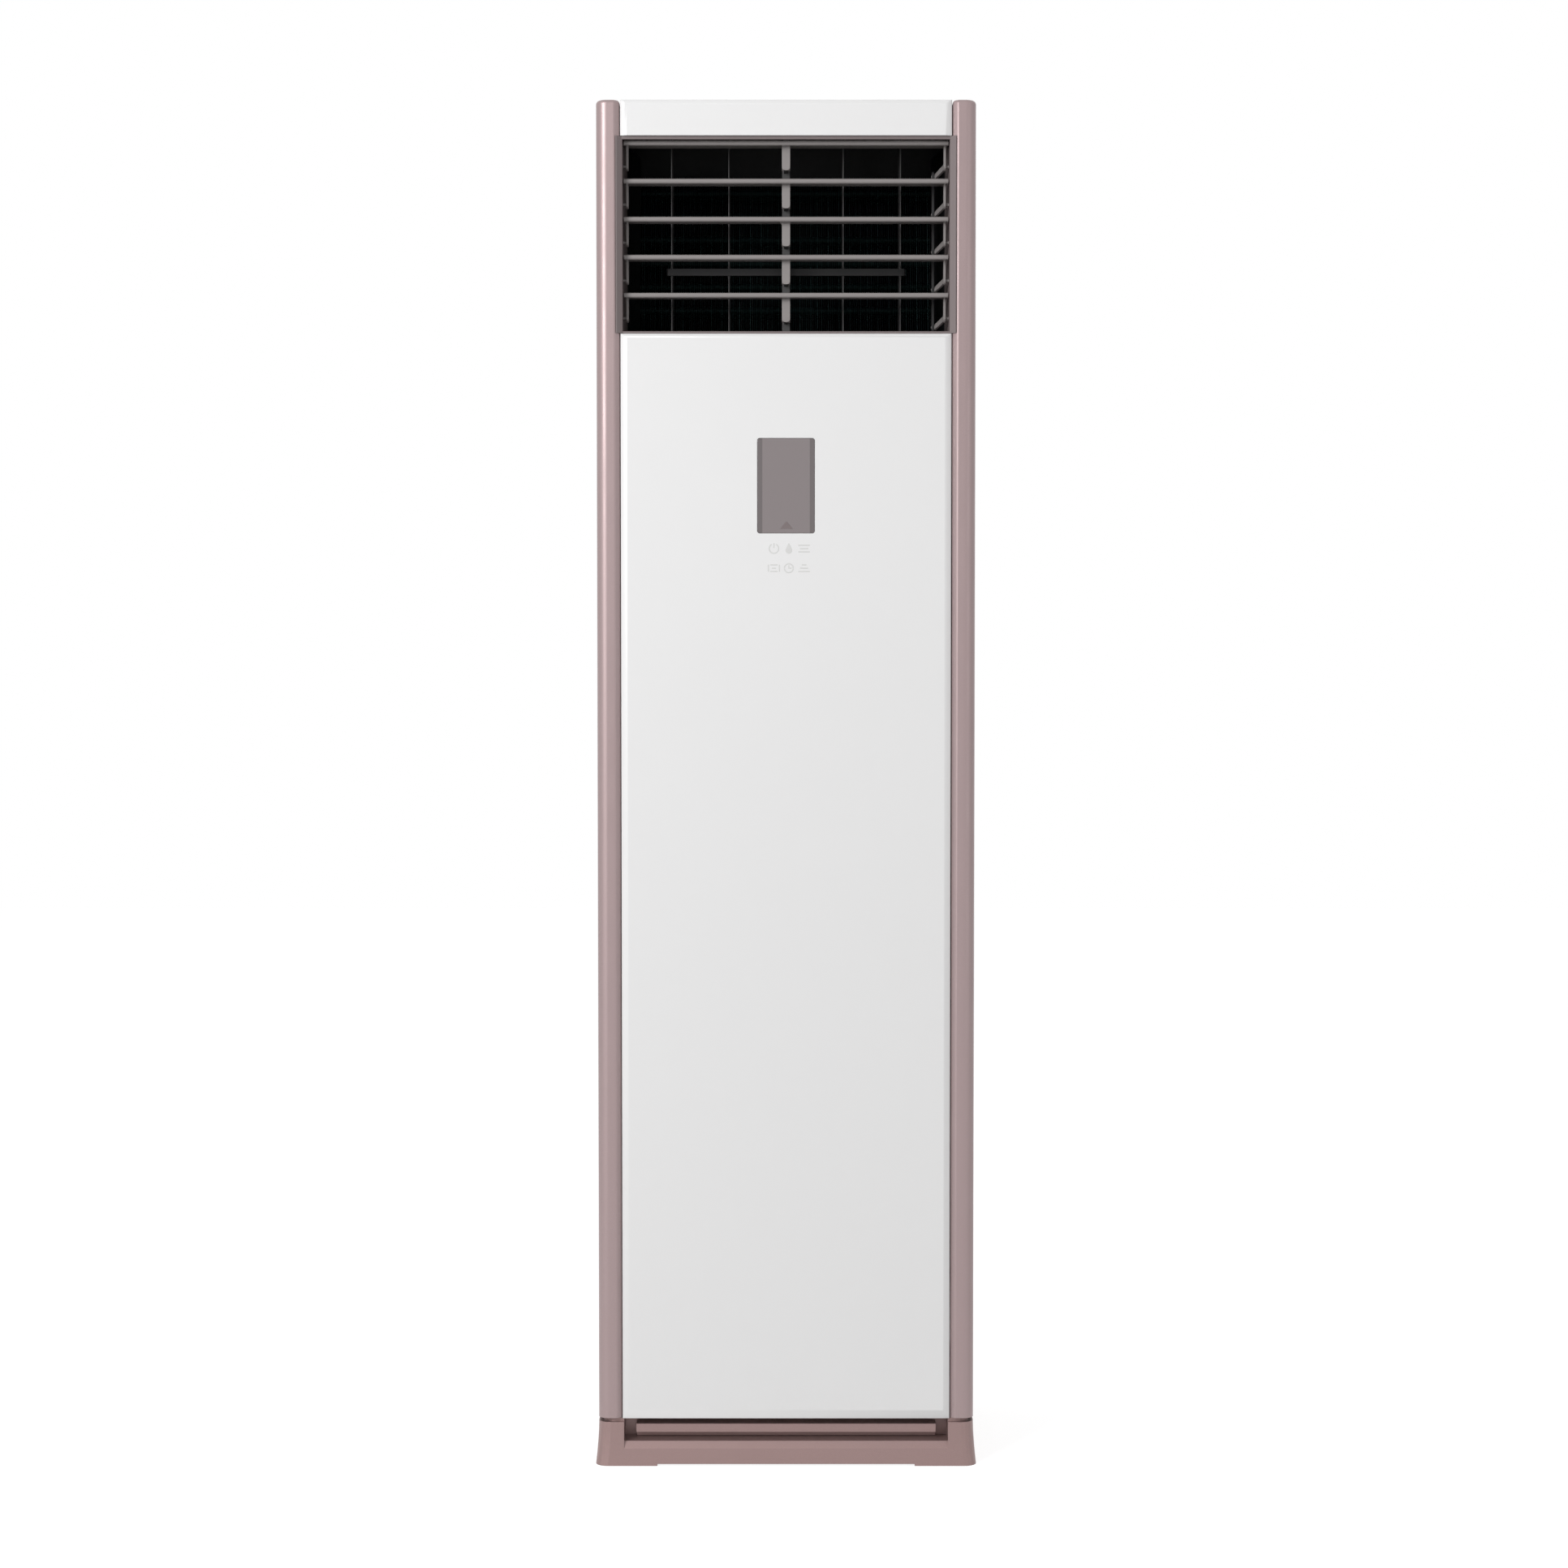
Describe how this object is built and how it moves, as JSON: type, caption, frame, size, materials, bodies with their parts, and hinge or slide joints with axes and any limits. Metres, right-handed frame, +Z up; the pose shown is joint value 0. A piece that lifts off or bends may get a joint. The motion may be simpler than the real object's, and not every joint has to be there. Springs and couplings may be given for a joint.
{
  "type": "floor standing air conditioner",
  "caption": "Tall floor standing air conditioner with a swinging louvred outlet, linked upright vanes, evaporator, centrifugal fan and pull-out side filters",
  "frame": {"origin": "on the floor, in the middle of the footprint", "axes": "+Z up, the front with the louvres faces -Y, +X to the right of someone looking at the front"},
  "size_m": [0.492, 0.315, 1.75],
  "materials": {
    "white": "smooth satin white moulding",
    "rose": "moulding in satin metallic rose lacquer",
    "base": "moulding in darker satin metallic rose lacquer",
    "frame": "satin grey-brown moulding",
    "louver": "satin warm grey moulding",
    "vane": "dark matt moulding",
    "dark": "black matt moulding",
    "window": "glossy smoked window",
    "steel": "galvanised sheet",
    "painted": "white powder coat, fine texture",
    "fins": "coated fins, blue-green",
    "copper": "drawn copper",
    "foam": "moulded foam, fine beads",
    "fan": "dark grey moulding",
    "motor": "grey enamel",
    "net": "dark frame with a fine plastic net",
    "board": "green lacquered board",
    "black": "black moulding",
    "pipe": "rigid pale pipe"
  },
  "bodies": {
    "cabinet": {"base_pan": "steel", "base_plinth": "base", "bell_mouth": "dark", "centre_post": "vane", "coil_end_left": "copper", "coil_end_right": "copper", "column_left": "rose", "column_right": "rose", "condensate_tray": "foam", "control_box": "steel", "control_box_cover": "steel", "display_housing": "dark", "display_window": "window", "drain_pipe": "pipe", "evaporator_fins": "fins", "fan_capacitor": "steel", "fan_motor": "motor", "front_baffle": "foam", "front_panel": "white", "gas_pipe": "copper", "inlet_grille_left": "painted", "inlet_grille_right": "painted", "liquid_pipe": "copper", "louver_motor": "steel", "main_board": "board", "motor_bracket": "steel", "outlet_frame": "frame", "partition_plate": "steel", "rear_panel": "painted", "side_panel_left": "painted", "side_panel_right": "painted", "terminal_block": "black", "toe_rail": "base", "top_cover": "painted", "transformer": "black", "upper_front_panel": "white", "vane_motor": "steel", "volute_front": "foam", "volute_rear": "foam"},
    "louver_1": {"louver_1": "louver"},
    "louver_2": {"louver_2": "louver"},
    "louver_3": {"louver_3": "louver"},
    "louver_4": {"louver_4": "louver"},
    "louver_5": {"louver_5": "louver"},
    "vane_1": {"vane_1": "vane"},
    "vane_2": {"vane_2": "vane"},
    "vane_3": {"vane_3": "vane"},
    "vane_4": {"vane_4": "vane"},
    "vane_5": {"vane_5": "vane"},
    "louver_link_bar": {"louver_link": "louver"},
    "vane_link_bar": {"vane_link": "vane"},
    "fan": {"fan_wheel": "fan", "wheel_nut": "steel", "motor_shaft": "steel"},
    "filter_left": {"filter_left": "net"},
    "filter_right": {"filter_right": "net"}
  },
  "joints": [
    {"name": "louver_swing_1", "type": "hinge", "parent": "cabinet", "child": "louver_1", "pos_m": [0, -0.119, 1.67], "axis": [1, 0, 0], "range_deg": [0, 88]},
    {"name": "louver_swing_2", "type": "hinge", "parent": "cabinet", "child": "louver_2", "pos_m": [0, -0.119, 1.6217], "axis": [1, 0, 0], "range_deg": [0, 88]},
    {"name": "louver_swing_3", "type": "hinge", "parent": "cabinet", "child": "louver_3", "pos_m": [0, -0.119, 1.5734], "axis": [1, 0, 0], "range_deg": [0, 88]},
    {"name": "louver_swing_4", "type": "hinge", "parent": "cabinet", "child": "louver_4", "pos_m": [0, -0.119, 1.5251], "axis": [1, 0, 0], "range_deg": [0, 88]},
    {"name": "louver_swing_5", "type": "hinge", "parent": "cabinet", "child": "louver_5", "pos_m": [0, -0.119, 1.4768], "axis": [1, 0, 0], "range_deg": [0, 88]},
    {"name": "louver_link_pivot", "type": "hinge", "parent": "louver_1", "child": "louver_link_bar", "pos_m": [0.1865, -0.086, 1.662], "axis": [1, 0, 0], "range_deg": [-88, 0]},
    {"name": "vane_turn_1", "type": "hinge", "parent": "cabinet", "child": "vane_1", "pos_m": [-0.148, -0.05, 1.585], "axis": [0, 0, 1], "range_deg": [-40, 40]},
    {"name": "vane_turn_2", "type": "hinge", "parent": "cabinet", "child": "vane_2", "pos_m": [-0.074, -0.05, 1.585], "axis": [0, 0, 1], "range_deg": [-40, 40]},
    {"name": "vane_turn_3", "type": "hinge", "parent": "cabinet", "child": "vane_3", "pos_m": [0, -0.05, 1.585], "axis": [0, 0, 1], "range_deg": [-40, 40]},
    {"name": "vane_turn_4", "type": "hinge", "parent": "cabinet", "child": "vane_4", "pos_m": [0.074, -0.05, 1.585], "axis": [0, 0, 1], "range_deg": [-40, 40]},
    {"name": "vane_turn_5", "type": "hinge", "parent": "cabinet", "child": "vane_5", "pos_m": [0.148, -0.05, 1.585], "axis": [0, 0, 1], "range_deg": [-40, 40]},
    {"name": "vane_link_pivot", "type": "hinge", "parent": "vane_1", "child": "vane_link_bar", "pos_m": [-0.148, -0.074, 1.541], "axis": [0, 0, 1], "range_deg": [-40, 40]},
    {"name": "fan_spin", "type": "hinge", "parent": "cabinet", "child": "fan", "pos_m": [0, 0.06, 0.33], "axis": [0, 1, 0], "continuous": true},
    {"name": "filter_left_slide", "type": "slide", "parent": "cabinet", "child": "filter_left", "axis": [0, 1, 0], "range_m": [0, 0.195]},
    {"name": "filter_right_slide", "type": "slide", "parent": "cabinet", "child": "filter_right", "axis": [0, 1, 0], "range_m": [0, 0.195]}
  ],
  "couplings": [
    {"joint": "louver_swing_2", "follows": "louver_swing_1", "ratio": 1},
    {"joint": "louver_swing_3", "follows": "louver_swing_1", "ratio": 1},
    {"joint": "louver_swing_4", "follows": "louver_swing_1", "ratio": 1},
    {"joint": "louver_swing_5", "follows": "louver_swing_1", "ratio": 1},
    {"joint": "louver_link_pivot", "follows": "louver_swing_1", "ratio": -1},
    {"joint": "vane_turn_2", "follows": "vane_turn_1", "ratio": 1},
    {"joint": "vane_turn_3", "follows": "vane_turn_1", "ratio": 1},
    {"joint": "vane_turn_4", "follows": "vane_turn_1", "ratio": 1},
    {"joint": "vane_turn_5", "follows": "vane_turn_1", "ratio": 1},
    {"joint": "vane_link_pivot", "follows": "vane_turn_1", "ratio": -1}
  ]
}
